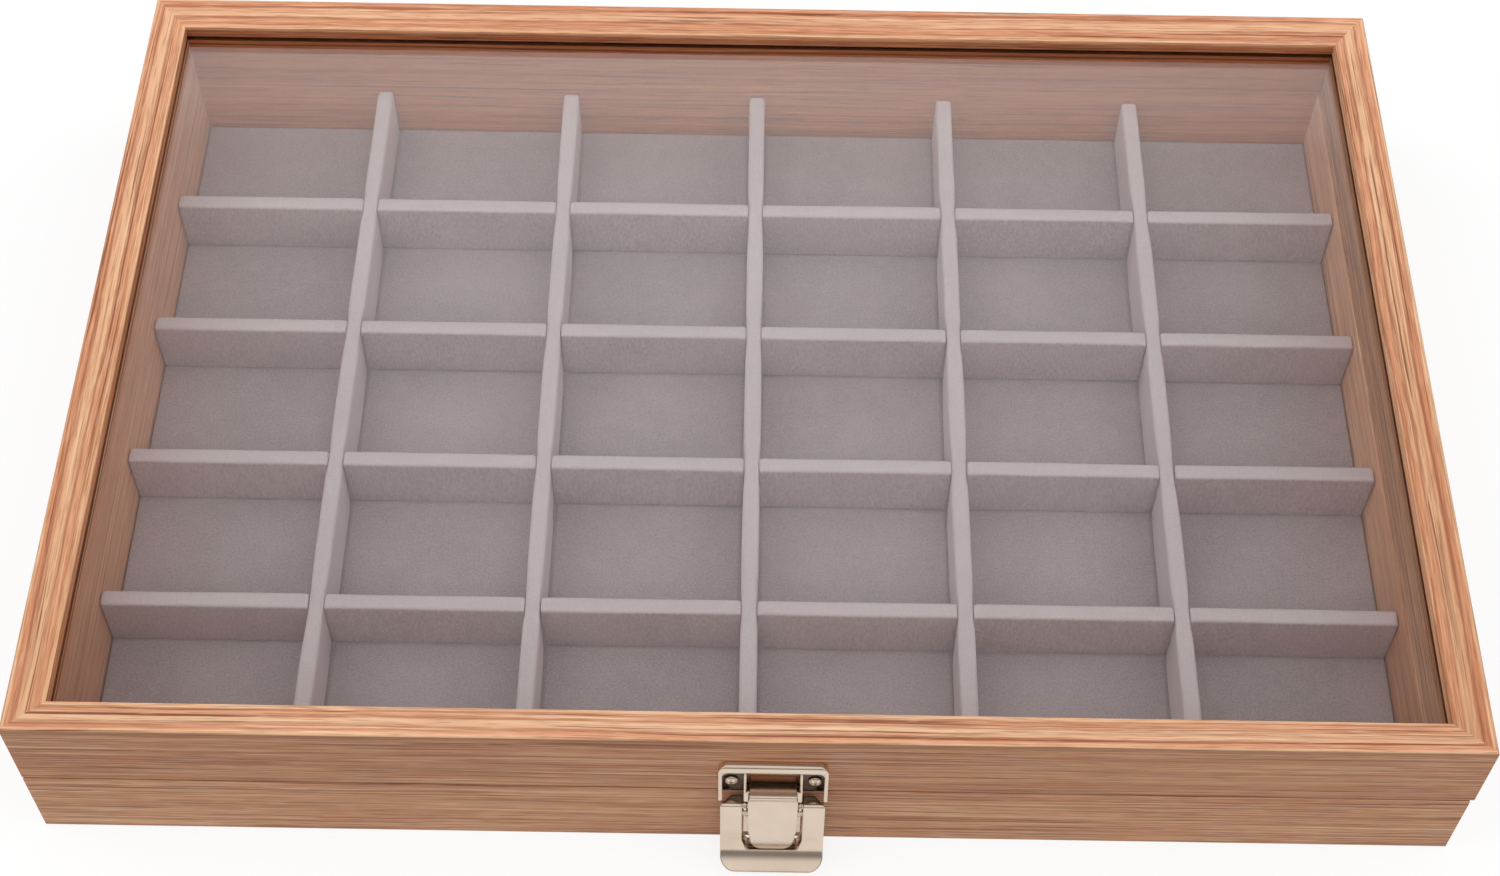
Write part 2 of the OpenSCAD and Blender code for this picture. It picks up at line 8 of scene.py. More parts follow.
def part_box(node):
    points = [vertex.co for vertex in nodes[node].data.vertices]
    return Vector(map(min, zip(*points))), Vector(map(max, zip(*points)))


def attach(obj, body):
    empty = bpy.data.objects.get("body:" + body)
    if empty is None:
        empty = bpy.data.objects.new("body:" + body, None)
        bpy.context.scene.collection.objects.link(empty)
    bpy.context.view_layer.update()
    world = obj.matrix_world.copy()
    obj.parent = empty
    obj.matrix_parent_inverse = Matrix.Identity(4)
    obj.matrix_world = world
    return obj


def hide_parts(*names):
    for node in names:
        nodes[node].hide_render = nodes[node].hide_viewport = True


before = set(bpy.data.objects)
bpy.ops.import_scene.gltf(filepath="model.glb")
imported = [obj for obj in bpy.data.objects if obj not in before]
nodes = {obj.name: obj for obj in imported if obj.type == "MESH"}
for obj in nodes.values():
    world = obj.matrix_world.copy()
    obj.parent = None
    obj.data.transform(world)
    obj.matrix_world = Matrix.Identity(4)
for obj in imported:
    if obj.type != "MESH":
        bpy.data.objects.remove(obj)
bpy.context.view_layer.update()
scene = bpy.context.scene
scene.view_settings.view_transform = "Standard"
MM = 0.001


# Camera, at the photograph's place and angle. The focal length is in the photograph's pixels.
PHOTO_WIDTH = 1500
FOCAL_LENGTH = 2413.72
SENSOR = 36
CLIP_START = 10.0 * MM
CAMERA_PLACE = Vector((-0.00003, -0.38745, 0.55041))
CAMERA_AIM = Vector((-0.00075, 0.57743, -0.81644)).normalized()
CAMERA_RIGHT = Vector((0.99987, 0.01345, 0.00859))


def photo_camera():
    data = bpy.data.cameras.new("camera")
    data.sensor_width = SENSOR
    data.lens = FOCAL_LENGTH * SENSOR / PHOTO_WIDTH
    data.clip_start = CLIP_START
    camera = bpy.data.objects.new("camera", data)
    scene.collection.objects.link(camera)
    right = (CAMERA_RIGHT - CAMERA_AIM * CAMERA_RIGHT.dot(CAMERA_AIM)).normalized()
    up = right.cross(CAMERA_AIM)
    turn = Matrix((right, up, -CAMERA_AIM)).transposed()
    camera.matrix_world = Matrix.Translation(CAMERA_PLACE) @ turn.to_4x4()
    scene.camera = camera


photo_camera()


# Small helpers for node trees
class Tree:
    """The nodes of a material or a world. A value may be a number, a colour or another node's output."""

    def __init__(self, owner):
        owner.use_nodes = True
        self.nodes = owner.node_tree.nodes
        self.links = owner.node_tree.links
        self.nodes.clear()

    def add(self, kind, inputs=None, **settings):
        node = self.nodes.new("ShaderNode" + kind)
        for key, value in settings.items():
            setattr(node, key, value)
        for key, value in (inputs or {}).items():
            if isinstance(value, bpy.types.NodeSocket):
                self.links.new(value, node.inputs[key])
            else:
                node.inputs[key].default_value = value
        return node

    def math(self, operation, a, b=0.0, clamp=False):
        return self.add("Math", {0: a, 1: b}, operation=operation, use_clamp=clamp).outputs[0]

    def product(self, *values):
        result = values[0]
        for value in values[1:]:
            result = self.math("MULTIPLY", result, value)
        return result

    def total(self, *values):
        result = values[0]
        for value in values[1:]:
            result = self.math("ADD", result, value)
        return result

    def vector(self, operation, a, b):
        return self.add("VectorMath", {0: a, 1: b}, operation=operation).outputs[0]

    def split(self, vector):
        return self.add("SeparateXYZ", {0: vector}).outputs

    def ramp(self, value, low, high, to_low=0.0, to_high=1.0):
        """Rises from one number to another between two values, and stays level outside them."""
        node = self.add("MapRange", {0: value, 1: low, 2: high, 3: to_low, 4: to_high})
        node.clamp = True
        return node.outputs[0]

    def fade(self, value, low, high):
        return self.ramp(value, low, high, 1.0, 0.0)

    def near(self, value, middle, full, end):
        """1 within a distance of the middle, and fading to 0 at another."""
        return self.fade(self.math("ABSOLUTE", self.math("SUBTRACT", value, middle)), full, end)

    def mix(self, factor, a, b, blend="MIX"):
        return self.add("Mix", {0: factor, 6: a, 7: b}, data_type="RGBA", blend_type=blend).outputs[2]

    def between(self, value, ends, tones):
        """From the first tone to the second, as the value goes from one end to the other."""
        return self.mix(self.ramp(value, *ends), *(srgb(*tone) for tone in tones))

    def layers(self, colour, patterns, table, where=None):
        """Lays tones over a colour, each where its pattern goes from its first to its second value."""
        for name, start, full, share, tone in table:
            amount = self.ramp(patterns[name], start, full, 0.0, share)
            if where is not None:
                amount = self.product(where, amount)
            colour = self.mix(amount, colour, srgb(*tone))
        return colour

    def noise(self, place, scale, detail=2.0, rough=0.5, distortion=0.0):
        inputs = {"Vector": place, "Scale": scale, "Detail": detail, "Roughness": rough}
        inputs["Distortion"] = distortion
        return self.add("TexNoise", inputs).outputs[0]

    def bump(self, height, strength, distance, normal=None):
        inputs = {"Height": height, "Strength": strength, "Distance": distance}
        if normal is not None:
            inputs["Normal"] = normal
        return self.add("Bump", inputs).outputs[0]

    def finish(self, shader, output="OutputMaterial"):
        self.links.new(shader.outputs[0], self.add(output).inputs[0])


def srgb(r, g, b):
    def linear(v):
        v /= 255
        return v / 12.92 if v <= 0.04045 else ((v + 0.055) / 1.055) ** 2.4
    return (linear(r), linear(g), linear(b), 1.0)


def opaque(tone):
    return (*tone, 1.0)


# Half width and half depth of the case
HALF_W = 175.0 * MM
HALF_D = 120.0 * MM
# Each rail's own frame: its turn, and what moves its outer face to 0, so that the grain follows the rails
RAIL_FRAMES = {
    "front": (0.0, (0.0, HALF_D, 0.0)),
    "right": (-90.0, (HALF_W + HALF_D, HALF_W, 0.0)),
    "back": (180.0, (2 * (HALF_W + HALF_D), HALF_D, 0.0)),
    "left": (90.0, (3 * (HALF_W + HALF_D), HALF_W, 0.0)),
}


# The rails' depth and the slope of the lid's top, and levels taken from the CAD pieces
RAIL_DEPTH = 9.0 * MM
TOP_SLOPE = 2.9 * MM / RAIL_DEPTH
TOP_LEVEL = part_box("lid_front_rail")[1][2]
SEAM_LEVEL = (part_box("base_front_wall")[1][2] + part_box("lid_front_rail")[0][2]) / 2
PANE_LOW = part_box("glass_pane")[0][2]
PANE_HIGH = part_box("glass_pane")[1][2]

# Where a look of the rails begins and where it is full, as depths from the outside or as heights
OUTER_FACE = (0.4 * MM, 0.8 * MM)
INNER_FACE = (8.6 * MM, 8.9 * MM)
TOP_FACE = (TOP_LEVEL - 0.9 * MM, TOP_LEVEL - 0.5 * MM)
UNDER_TOP = (TOP_LEVEL - 2.6 * MM, TOP_LEVEL - 1.6 * MM)
UNDER_GLASS = (PANE_LOW, PANE_LOW + 0.2 * MM)
OVER_GLASS = (PANE_HIGH, PANE_HIGH + 0.2 * MM)
NEAR_GLASS = (PANE_HIGH + 2.4 * MM, PANE_HIGH + 4.0 * MM)
GROOVE_DEPTH = (4.8 * MM, 5.0 * MM)
GROOVE_LOW = (PANE_LOW - 0.1 * MM, PANE_LOW)
GROOVE_HIGH = (PANE_HIGH + 0.4 * MM, PANE_HIGH + 0.5 * MM)
SEAM_LINE = (0.20 * MM, 0.45 * MM)
GLASS_LINE = (0.2 * MM, 0.5 * MM)
GLASS_LINE_LEVEL = PANE_LOW - 1.6 * MM

# How the grain lines wander along the rail: stretch, scale and width
WANDER_STRETCH = (0.12, 0.5, 0.5)
WANDER_SCALE = 110.0
WANDER_WIDTH = 2.0 * MM
# Patterns of the grain: scale, share of it that is left along the rail, detail and roughness
GRAIN_PATTERNS = {
    "hue": (260.0, 0.010, 1.0, 0.5),
    "streaks": (620.0, 0.012, 2.0, 0.6),
    "dashes": (1250.0, 0.016, 2.0, 0.6),
    "lines": (1300.0, 0.0070, 1.0, 0.5),
    "flecks": (2600.0, 0.045, 1.0, 0.5),
    "fine": (1900.0, 0.0060, 1.0, 0.5),
}
# Layers of the grain: pattern, where it starts, where it is full, its share there and its tone
GRAIN_LAYERS = (
    ("streaks", 0.46, 0.34, 0.34, (170, 106, 72)),
    ("streaks", 0.55, 0.68, 0.36, (234, 184, 144)),
    ("dashes", 0.46, 0.32, 0.48, (154, 94, 62)),
    ("dashes", 0.55, 0.70, 0.40, (240, 192, 150)),
    ("lines", 0.37, 0.31, 0.80, (124, 68, 42)),
    ("lines", 0.64, 0.70, 0.75, (248, 210, 172)),
    ("flecks", 0.45, 0.32, 0.38, (150, 92, 62)),
    ("flecks", 0.57, 0.70, 0.30, (250, 216, 182)),
)
# The same for the outer faces alone
OUTER_LAYERS = (
    ("fine", 0.44, 0.34, 0.55, (130, 78, 52)),
    ("fine", 0.56, 0.68, 0.50, (244, 200, 162)),
)
# Tones under the grain, between two values of the hue
WOOD_TONES = ((206, 143, 106), (219, 163, 122))
WOOD_HUES = (0.38, 0.62)
# Bumps, as strength and distance, and roughness between two values of the streaks
WOOD_BUMP = (0.25, 0.2 * MM)
FLECK_BUMP = (0.15, 0.1 * MM)
WOOD_ROUGHNESS = (0.3, 0.7, 0.56, 0.46)

# Bands on top of the lid, as a share of the rail's depth from the outside, with their tones. The pale bands
# at the outer and the inner edge are painted highlights.
TOP_BANDS_AND_HIGHLIGHTS = (
    (0.02, (244, 196, 154)), (0.08, (218, 152, 112)), (0.18, (224, 150, 112)), (0.25, (152, 86, 56)),
    (0.31, (230, 168, 128)), (0.38, (236, 188, 148)), (0.56, (240, 196, 156)), (0.62, (180, 110, 76)),
    (0.67, (226, 164, 126)), (0.80, (218, 152, 114)), (0.86, (188, 122, 84)), (0.92, (240, 190, 148)),
)
TOP_BAND_SHARE = 0.75
# Painted light and shade: tones that each rail is multiplied by near the front and near the back of the case,
# and where they are full:
# first painted shade on the lid's top, then painted light and shade on the faces under the glass
TOP_SHADE_ENDS = (-HALF_D, HALF_D)
TOP_SHADE_TONES = {
    "front": ((0.96, 0.97, 0.99), (0.96, 0.97, 0.99)),
    "right": ((0.73, 0.65, 0.59), (0.96, 0.95, 0.95)),
    "back": ((1.0, 1.0, 1.0), (1.0, 1.0, 1.0)),
    "left": ((0.82, 0.77, 0.72), (0.98, 0.96, 0.96)),
}
INNER_LIGHT_SHADE_ENDS = (-105.0 * MM, -20.0 * MM)
INNER_LIGHT_SHADE_TONES = {
    "front": ((1.21, 1.36, 1.53), (1.21, 1.36, 1.53)),
    "right": ((0.95, 0.83, 0.70), (1.55, 1.74, 1.96)),
    "back": ((0.97, 0.66, 0.43), (0.97, 0.66, 0.43)),
    "left": ((1.12, 1.05, 0.96), (1.39, 1.45, 1.61)),
}
# Tones multiplied in the same way on all of the lid's back rail but its outer face, and as painted shade on
# the faces just above the glass
BACK_TONE = (0.91, 0.85, 0.84)
NEAR_GLASS_SHADE_TONE = (0.74, 0.55, 0.43)
# Tones that are laid over the grain, with their shares. All but the first, on the faces under the glass, are
# painted shade
INNER_TONE = (208, 148, 110)
INNER_SHARE = 0.4
SEAM_SHADE_TONE = (96, 50, 28)
SEAM_SHADE_SHARE = 0.75
UNDER_TOP_SHADE_TONE = (150, 104, 58)
UNDER_TOP_SHADE_SHARE = 0.5
LID_FACE_SHADE_TONE = (150, 92, 64)
LID_FACE_SHADE_SHARE = 0.22
GLASS_LINE_SHADE_TONE = (84, 40, 18)
GLASS_LINE_SHADE_SHARE = 0.7
GROOVE_SHADE_TONES = {"front": (120, 74, 46), "right": (112, 66, 40), "back": (92, 48, 24), "left": (146, 94, 62)}


class WoodFoil:
    """Material of wood-grain foil whose streaks run along the rail, with painted light and shade. The groove
    for the glass is dark with painted shade.
    """

    def __init__(self, side, is_lid):
        self.side = side
        self.material = bpy.data.materials.new("wood_" + side + ("_lid" if is_lid else "_base"))
        self.tree = t = Tree(self.material)
        place = t.add("TexCoord").outputs["Object"]
        self.behind = t.split(place)[1]
        rail, bent = self.rail_places(place)
        self.patterns = {name: self.grain(bent, *shape) for name, shape in GRAIN_PATTERNS.items()}
        self.depth, self.level = t.split(rail)[1:3]
        self.bent_depth, self.bent_level = t.split(bent)[1:3]
        self.outside = t.fade(self.depth, *OUTER_FACE)
        over = t.total(self.level, t.product(self.depth, TOP_SLOPE))
        self.top = t.ramp(over, *TOP_FACE)

        self.colour = t.between(self.patterns["hue"], WOOD_HUES, WOOD_TONES)
        if is_lid:
            self.top_bands_and_highlights()
        self.colour = t.layers(self.colour, self.patterns, GRAIN_LAYERS)
        if is_lid:
            # Painted shade on the lid's top, darker towards the front on the side rails
            self.light_and_shade_along(self.top, TOP_SHADE_TONES, *TOP_SHADE_ENDS)
        self.colour = t.layers(self.colour, self.patterns, OUTER_LAYERS, self.outside)
        if is_lid and side == "back":
            # This rail is a little darker than the others, apart from its outer face
            self.multiply(t.math("SUBTRACT", 1.0, self.outside), BACK_TONE)
        self.inner_face()
        self.seam_shade()
        if is_lid:
            self.lid_face_shade()
            self.glass_edge_shade()
        self.surface()

    def rail_places(self, place):
        """Places in the rail's own frame, and the same with the slow wander of the grain."""
        t = self.tree
        turn, shift = RAIL_FRAMES[self.side]
        inputs = {"Vector": place, "Location": shift, "Rotation": (0, 0, math.radians(turn))}
        rail = t.add("Mapping", inputs).outputs[0]
        slow = t.vector("MULTIPLY", rail, WANDER_STRETCH)
        inputs = {"Vector": slow, "Scale": WANDER_SCALE, "Detail": 2.0, "Roughness": 0.5}
        wander = t.vector("SUBTRACT", t.add("TexNoise", inputs).outputs["Color"], (0.5, 0.5, 0.5))
        wander = t.add("VectorMath", {0: wander, 3: WANDER_WIDTH}, operation="SCALE").outputs[0]
        return rail, t.vector("ADD", rail, wander)

    def grain(self, bent, scale, length, detail, rough):
        drawn = self.tree.vector("MULTIPLY", bent, (length, 1, 1))
        return self.tree.noise(drawn, scale, detail, rough)

    def lay(self, share, tone):
        self.colour = self.tree.mix(share, self.colour, srgb(*tone))

    def multiply(self, share, tone):
        self.colour = self.tree.mix(share, self.colour, opaque(tone), "MULTIPLY")

    def light_and_shade_along(self, where, tones, near_end, far_end):
        """Multiplies by painted light and shade, a tone that goes from the rail's near tone to its far tone.
        """
        t = self.tree
        near_tone, far_tone = (opaque(tone) for tone in tones[self.side])
        both = t.mix(t.ramp(self.behind, near_end, far_end), near_tone, far_tone)
        self.colour = t.mix(where, self.colour, both, "MULTIPLY")

    def top_bands_and_highlights(self):
        """Bands that follow the sloping top round the corners, with painted highlights along its outer and
        inner edges.
        """
        t = self.tree
        bands = t.add("ValToRGB", {0: t.ramp(self.bent_depth, 0.0, RAIL_DEPTH)})
        stops = bands.color_ramp.elements
        for share, tone in TOP_BANDS_AND_HIGHLIGHTS:
            stops.new(share).color = srgb(*tone)
        stops.remove(stops[-1])
        stops.remove(stops[0])
        self.colour = t.mix(t.product(self.top, TOP_BAND_SHARE), self.colour, bands.outputs[0])

    def inner_face(self):
        """Tones of the faces under the glass, with painted light and shade on them from front to back."""
        t = self.tree
        inner = t.product(t.ramp(self.depth, *INNER_FACE), t.fade(self.level, *UNDER_GLASS))
        self.lay(t.product(inner, INNER_SHARE), INNER_TONE)
        # Painted light and shade, from the front towards the back
        self.light_and_shade_along(inner, INNER_LIGHT_SHADE_TONES, *INNER_LIGHT_SHADE_ENDS)

    def seam_shade(self):
        """Dark line of painted shade where the foil turns in at the seam between base and lid."""
        t = self.tree
        seam = t.near(self.level, SEAM_LEVEL, *SEAM_LINE)
        # Painted shade in the seam
        self.lay(t.product(seam, self.outside, SEAM_SHADE_SHARE), SEAM_SHADE_TONE)

    def lid_face_shade(self):
        """Painted shade: the lid's outer face is a little darker than the base's, and darkest along its top
        edge.
        """
        t = self.tree
        # Painted shade along the top edge of the outer face
        under = t.product(t.ramp(self.bent_level, *UNDER_TOP), t.math("SUBTRACT", 1.0, self.top))
        self.lay(t.product(under, self.outside, UNDER_TOP_SHADE_SHARE), UNDER_TOP_SHADE_TONE)
        face = t.math("SUBTRACT", self.outside, self.top, clamp=True)
        # Painted shade over the lid's outer face
        self.lay(t.product(face, LID_FACE_SHADE_SHARE), LID_FACE_SHADE_TONE)

    def glass_edge_shade(self):
        """Painted shade down to the glass, painted shade in the opening of the groove and a painted shadow
        line under it.
        """
        t = self.tree
        face = t.ramp(self.depth, *INNER_FACE)
        # Painted shade down to the glass
        down = t.product(t.fade(self.level, *NEAR_GLASS), t.ramp(self.level, *OVER_GLASS))
        self.multiply(t.product(face, down), NEAR_GLASS_SHADE_TONE)
        # Painted shadow line under the glass
        line = t.near(self.bent_level, GLASS_LINE_LEVEL, *GLASS_LINE)
        self.lay(t.product(face, line, GLASS_LINE_SHADE_SHARE), GLASS_LINE_SHADE_TONE)
        # Painted shade in the opening of the groove
        groove = t.product(t.ramp(self.depth, *GROOVE_DEPTH), t.ramp(self.level, *GROOVE_LOW),
                           t.fade(self.level, *GROOVE_HIGH))
        self.lay(groove, GROOVE_SHADE_TONES[self.side])

    def surface(self):
        """The shader, with the grain's dashes, lines and flecks as fine relief."""
        t = self.tree
        height = t.total(t.product(self.patterns["dashes"], 0.5), t.product(self.patterns["lines"], 0.5))
        normal = t.bump(height, *WOOD_BUMP)
        normal = t.bump(self.patterns["flecks"], *FLECK_BUMP, normal)
        rough = t.ramp(self.patterns["streaks"], *WOOD_ROUGHNESS)
        t.finish(t.add("BsdfPrincipled", {"Base Color": self.colour, "Normal": normal, "Roughness": rough,
                                          "Specular IOR Level": 0.3}))


# Tones of the velvet on the strips and on the floor, where they are darker as painted shade
STRIP_TONES = {
    "base": (212, 195, 197), "shade": (190, 173, 175), "pale": (224, 208, 210), "dark": (164, 147, 149),
}
FLOOR_SHADED_TONES = {
    "base": (196, 180, 182), "shade": (170, 155, 157), "pale": (208, 193, 195), "dark": (146, 131, 133),
}
# Patterns of the pile: scale, detail and roughness. The nap is drawn out upwards.
VELVET_PATTERNS = {
    "cloud": (30.0, 3.0, 0.55),
    "patch": (260.0, 3.0, 0.6),
    "pile": (1300.0, 2.0, 0.6),
    "nap": (1900.0, 2.0, 0.6),
}
NAP_STRETCH = (1, 1, 0.35)
# How the clouds mix shade and base tone, and the layers over that, as for the grain of the wood
VELVET_CLOUD = (0.35, 0.65, 0.25, 0.85)
VELVET_LAYERS = (
    ("patch", 0.45, 0.72, 0.25, "pale"),
    ("pile", 0.40, 0.62, 0.30, "shade"),
    ("nap", 0.48, 0.66, 0.45, "pale"),
    ("nap", 0.46, 0.32, 0.30, "dark"),
)
# Painted light and sheen: paler tones on a strip's sides and top, and how they come in as the surface turns
# that way
STRIP_SIDE_SHEEN_TONE = (236, 221, 224)
STRIP_SIDE_SHEEN_RAMP = (0.4, 0.9, 0.0, 0.70)
STRIP_TOP_LIGHT_TONE = (238, 224, 226)
STRIP_TOP_LIGHT_RAMP = (0.15, 0.75, 0.0, 0.45)
SHEEN_TONE = (226, 208, 210)
PILE_BUMP = (0.10, 0.2 * MM)


def velvet_material(name, tones, strips):
    """Flocked velvet: short pile, cloudy where it was brushed, and on the strips paler on top and at the
    sides, as painted light and sheen.
    """
    material = bpy.data.materials.new(name)
    t = Tree(material)
    place = t.add("TexCoord").outputs["Object"]
    upright = t.vector("MULTIPLY", place, NAP_STRETCH)
    patterns = {pattern: t.noise(upright if pattern == "nap" else place, *shape)
                for pattern, shape in VELVET_PATTERNS.items()}
    colour = t.between(patterns["cloud"], VELVET_CLOUD, (tones["shade"], tones["base"]))
    colour = t.layers(colour, patterns, [(*layer[:4], tones[layer[4]]) for layer in VELVET_LAYERS])
    if strips:
        # Painted light and sheen: the pile is paler on top, and on the sides left and right
        side, _, up = t.split(t.add("NewGeometry").outputs["True Normal"])
        sideways = t.ramp(t.math("ABSOLUTE", side), *STRIP_SIDE_SHEEN_RAMP)
        colour = t.mix(sideways, colour, srgb(*STRIP_SIDE_SHEEN_TONE))
        colour = t.mix(t.ramp(up, *STRIP_TOP_LIGHT_RAMP), colour, srgb(*STRIP_TOP_LIGHT_TONE))
    normal = t.bump(patterns["pile"], *PILE_BUMP)
    t.finish(t.add("BsdfPrincipled", {"Base Color": colour, "Normal": normal, "Roughness": 0.95,
                                      "Specular IOR Level": 0.1, "Sheen Weight": 0.30,
                                      "Sheen Roughness": 0.45, "Sheen Tint": srgb(*SHEEN_TONE)}))
    return material


def middle_of(name, axis):
    low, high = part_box(name)
    return (low[axis] + high[axis]) / 2


# Painted shade in the recess of the latch's stamped tray: where it ends towards the mouth, its sides and its
# top
TRAY_DEPTH = (HALF_D + 0.9 * MM, HALF_D + 2.4 * MM)
TRAY_HALF = (12.3 * MM, 12.6 * MM)
TRAY_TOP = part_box("keeper_plate")[1][2] - 2.3 * MM
TRAY_TOP_EDGE = (TRAY_TOP, TRAY_TOP + 0.3 * MM)
TRAY_SHADE_TONE = (68, 53, 44)
# Plating: its clouds and its fine marks as scale, detail and roughness, with the marks drawn out sideways
NICKEL_CLOUD = (90.0, 2.0, 0.5)
NICKEL_MARKS = (5200.0, 2.0, 0.6)
MARKS_STRETCH = (0.06, 1, 1)
NICKEL_TONES = ((214, 194, 174), (220, 202, 184))
NICKEL_HUES = (0.35, 0.65)
# Roughness from the clouds and from the marks, the marks' bump, and the round of the worn edges
CLOUD_ROUGHNESS = (0.3, 0.7, 0.13, 0.16)
MARKS_ROUGHNESS = (0.45, 0.7, 0.0, 0.04)
MARKS_BUMP = (0.02, 0.05 * MM)
WORN_EDGE = 0.55 * MM


def nickel_material(name, tray=False):
    """Bright nickel plate. The stamped tray has painted shade in its recess, near the wood."""
    material = bpy.data.materials.new(name)
    t = Tree(material)
    place = t.add("TexCoord").outputs["Object"]
    cloud = t.noise(place, *NICKEL_CLOUD)
    marks = t.noise(t.vector("MULTIPLY", place, MARKS_STRETCH), *NICKEL_MARKS)
    colour = t.between(cloud, NICKEL_HUES, NICKEL_TONES)
    if tray:
        # Painted shade in the recess of the tray
        across, behind, level = t.split(place)
        recess = t.fade(t.product(behind, -1.0), *TRAY_DEPTH)
        inside = t.near(across, middle_of("keeper_plate", 0), *TRAY_HALF)
        below = t.fade(level, *TRAY_TOP_EDGE)
        colour = t.mix(t.product(recess, inside, below), colour, srgb(*TRAY_SHADE_TONE))
    rough = t.total(t.ramp(cloud, *CLOUD_ROUGHNESS), t.ramp(marks, *MARKS_ROUGHNESS))
    worn = t.add("Bevel", {"Radius": WORN_EDGE}, samples=8).outputs[0]
    normal = t.bump(marks, *MARKS_BUMP, worn)
    t.finish(t.add("BsdfPrincipled", {"Base Color": colour, "Metallic": 1.0, "Roughness": rough,
                                      "Normal": normal}))
    return material


def glass_material():
    material = bpy.data.materials.new("glass")
    t = Tree(material)
    t.finish(t.add("BsdfPrincipled", {"Base Color": (0.985, 0.995, 0.99, 1), "Roughness": 0.0, "IOR": 1.5,
                                      "Transmission Weight": 1.0}))
    return material


# Hardboard: its fibres as scale, detail, roughness and distortion, with their tones, and its darker clouds
BOARD_FIBRE = (900.0, 4.0, 0.7, 1.5)
BOARD_HUES = (0.35, 0.65)
BOARD_TONES = ((120, 88, 62), (158, 122, 90))
BOARD_BUMP = (0.3, 0.3 * MM)
BOARD_CLOUD = (40.0, 2.0, 0.5)
BOARD_CLOUD_RAMP = (0.4, 0.7, 0.0, 0.3)
BOARD_CLOUD_TONE = (104, 76, 54)


def board_material():
    """Brown hardboard with short fibres."""
    material = bpy.data.materials.new("board")
    t = Tree(material)
    place = t.add("TexCoord").outputs["Object"]
    fibre = t.noise(place, *BOARD_FIBRE)
    cloud = t.noise(place, *BOARD_CLOUD)
    colour = t.between(fibre, BOARD_HUES, BOARD_TONES)
    colour = t.mix(t.ramp(cloud, *BOARD_CLOUD_RAMP), colour, srgb(*BOARD_CLOUD_TONE))
    t.finish(t.add("BsdfPrincipled", {"Base Color": colour, "Roughness": 0.75, "Specular IOR Level": 0.25,
                                      "Normal": t.bump(fibre, *BOARD_BUMP)}))
    return material


velvet_strip = velvet_material("velvet_strips", STRIP_TONES, True)
# The floor's velvet is the strips' velvet, darker as painted shade
velvet_floor = velvet_material("velvet_floor", FLOOR_SHADED_TONES, False)
nickel = nickel_material("nickel")
glass = glass_material()
looks = {"floor_pad": velvet_floor, "bottom_board": board_material(), "glass_pane": glass,
         "keeper_plate": nickel_material("nickel_tray", tray=True)}
for side in RAIL_FRAMES:
    looks["base_" + side + "_wall"] = WoodFoil(side, False).material
    looks["lid_" + side + "_rail"] = WoodFoil(side, True).material

for name, obj in nodes.items():
    usual = velvet_strip if name.startswith("divider") else nickel
    for slot in obj.material_slots:
        slot.material = looks.get(name, usual)


# Softened edges of the latch's stamped pieces: the turn that keeps an edge sharp, the turn that a bevel needs
SMOOTH_ANGLE = math.radians(30)
SOFT_ANGLE = math.radians(35)
SOFT_EDGE = 0.14 * MM
STAMPED = ("latch_lever", "hook_link", "keeper_plate", "latch_base_plate")


def smooth_group():
    """Geometry nodes that shade a mesh smooth, apart from edges that turn by more than an angle."""
    group = bpy.data.node_groups.new("smooth_by_angle", "GeometryNodeTree")
    group.interface.new_socket("Geometry", in_out="INPUT", socket_type="NodeSocketGeometry")
    group.interface.new_socket("Geometry", in_out="OUTPUT", socket_type="NodeSocketGeometry")
    source = group.nodes.new("NodeGroupInput")
    result = group.nodes.new("NodeGroupOutput")
    angle = group.nodes.new("GeometryNodeInputMeshEdgeAngle")
    over = group.nodes.new("FunctionNodeCompare")
    over.data_type = "FLOAT"
    over.operation = "GREATER_THAN"
    over.inputs[1].default_value = SMOOTH_ANGLE
    normals = group.nodes.new("GeometryNodeSetMeshNormal")
    normals.inputs["Remove Custom"].default_value = True
    normals.inputs["Face Sharpness"].default_value = False
    group.links.new(source.outputs[0], normals.inputs["Mesh"])
    group.links.new(angle.outputs["Unsigned Angle"], over.inputs[0])
    group.links.new(over.outputs[0], normals.inputs["Edge Sharpness"])
    group.links.new(normals.outputs[0], result.inputs[0])
    return group


def soften(obj, group):
    """Rounds the sharp edges of a CAD piece a little, with modifiers."""
    weld = obj.modifiers.new("weld", "WELD")
    weld.merge_threshold = 1e-6
    smooth = obj.modifiers.new("smooth", "NODES")
    smooth.node_group = group
    bevel = obj.modifiers.new("soft_edges", "BEVEL")
    bevel.width = SOFT_EDGE
    bevel.segments = 3
    bevel.limit_method = "ANGLE"
    bevel.angle_limit = SOFT_ANGLE
    bevel.harden_normals = True
    bevel.use_clamp_overlap = True


by_angle = smooth_group()
for name in STAMPED:
    soften(nodes[name], by_angle)


# The scene's own pieces
PIECE_ANGLE = math.radians(50)


def add_piece(name, bm, material, body, node):
    mesh = bpy.data.meshes.new(name)
    bmesh.ops.recalc_face_normals(bm, faces=bm.faces)
    for face in bm.faces:
        face.smooth = True
    bm.to_mesh(mesh)
    bm.free()
    mesh.set_sharp_from_angle(angle=PIECE_ANGLE)
    mesh.materials.append(material)
    piece = bpy.data.objects.new(name, mesh)
    scene.collection.objects.link(piece)
    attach(piece, body)
    if node:
        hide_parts(node)
    return piece


def bridge(bm, a, b, order):
    """Faces between two rings of vertices, round the loop that the order names."""
    for i, j in zip(order, order[1:] + order[:1]):
        bm.faces.new((a[i], a[j], b[j], b[i]))


def subdivide(keys, step):
    """The keys in their order, with even steps between those that are further apart than a step."""
    keys = sorted(keys)
    places = [keys[0]]
    for key in keys[1:]:
        first = places[-1]
        count = max(1, math.ceil((key - first) / step))
        places += [first + (key - first) * i / count for i in range(1, count + 1)]
    return places


